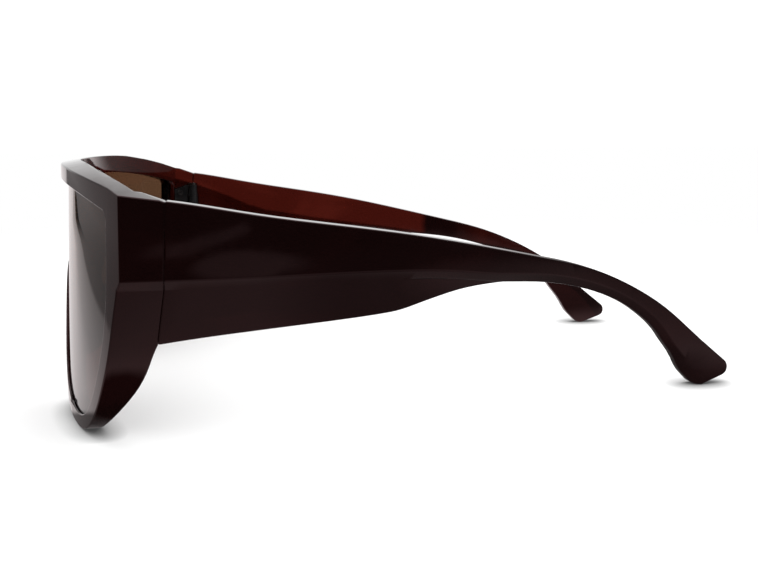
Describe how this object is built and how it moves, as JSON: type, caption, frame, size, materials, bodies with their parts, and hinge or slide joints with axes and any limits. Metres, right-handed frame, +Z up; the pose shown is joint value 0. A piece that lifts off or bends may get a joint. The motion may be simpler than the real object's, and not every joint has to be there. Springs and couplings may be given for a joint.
{
  "type": "shield sunglasses",
  "caption": "Oversize wrap-round sunglasses: a tinted shield lens in a dark moulded front with a raised side band, and wide curved temples that fold in on screwed barrel hinges.",
  "frame": {"origin": "on the table, midway across the width and midway between the foremost line of the front and the ends of the temple tips", "axes": "+X towards the wearer's left, +Y from the lens back to the temple tips, +Z up from the table the sunglasses stand on"},
  "size_m": [0.144, 0.1674, 0.0586],
  "materials": {
    "frame_plastic": "polished, very dark red-brown, slightly translucent",
    "lens_tint": "polished, brown tint",
    "pad_plastic": "polished, same dark plastic as the front",
    "hinge_metal": "black, satin",
    "screw_steel": "darkened steel"
  },
  "bodies": {
    "front": {"front_frame": "frame_plastic", "shield_lens": "lens_tint", "nose_pad_left": "pad_plastic", "nose_pad_right": "pad_plastic", "front_hinge_left": "hinge_metal", "front_hinge_right": "hinge_metal", "hinge_screw_left": "screw_steel", "hinge_screw_right": "screw_steel", "leaf_screws_left": "screw_steel", "leaf_screws_right": "screw_steel"},
    "left_temple": {"temple_left": "frame_plastic", "temple_hinge_left": "hinge_metal"},
    "right_temple": {"temple_right": "frame_plastic", "temple_hinge_right": "hinge_metal"}
  },
  "joints": [
    {"name": "temple_left_fold", "type": "hinge", "parent": "front", "child": "left_temple", "pos_m": [0.0658, -0.05393, 0.0425], "axis": [0, 0, 1], "range_deg": [0, 79]},
    {"name": "temple_right_fold", "type": "hinge", "parent": "front", "child": "right_temple", "pos_m": [-0.0658, -0.05393, 0.0425], "axis": [0, 0, -1], "range_deg": [0, 70]}
  ]
}
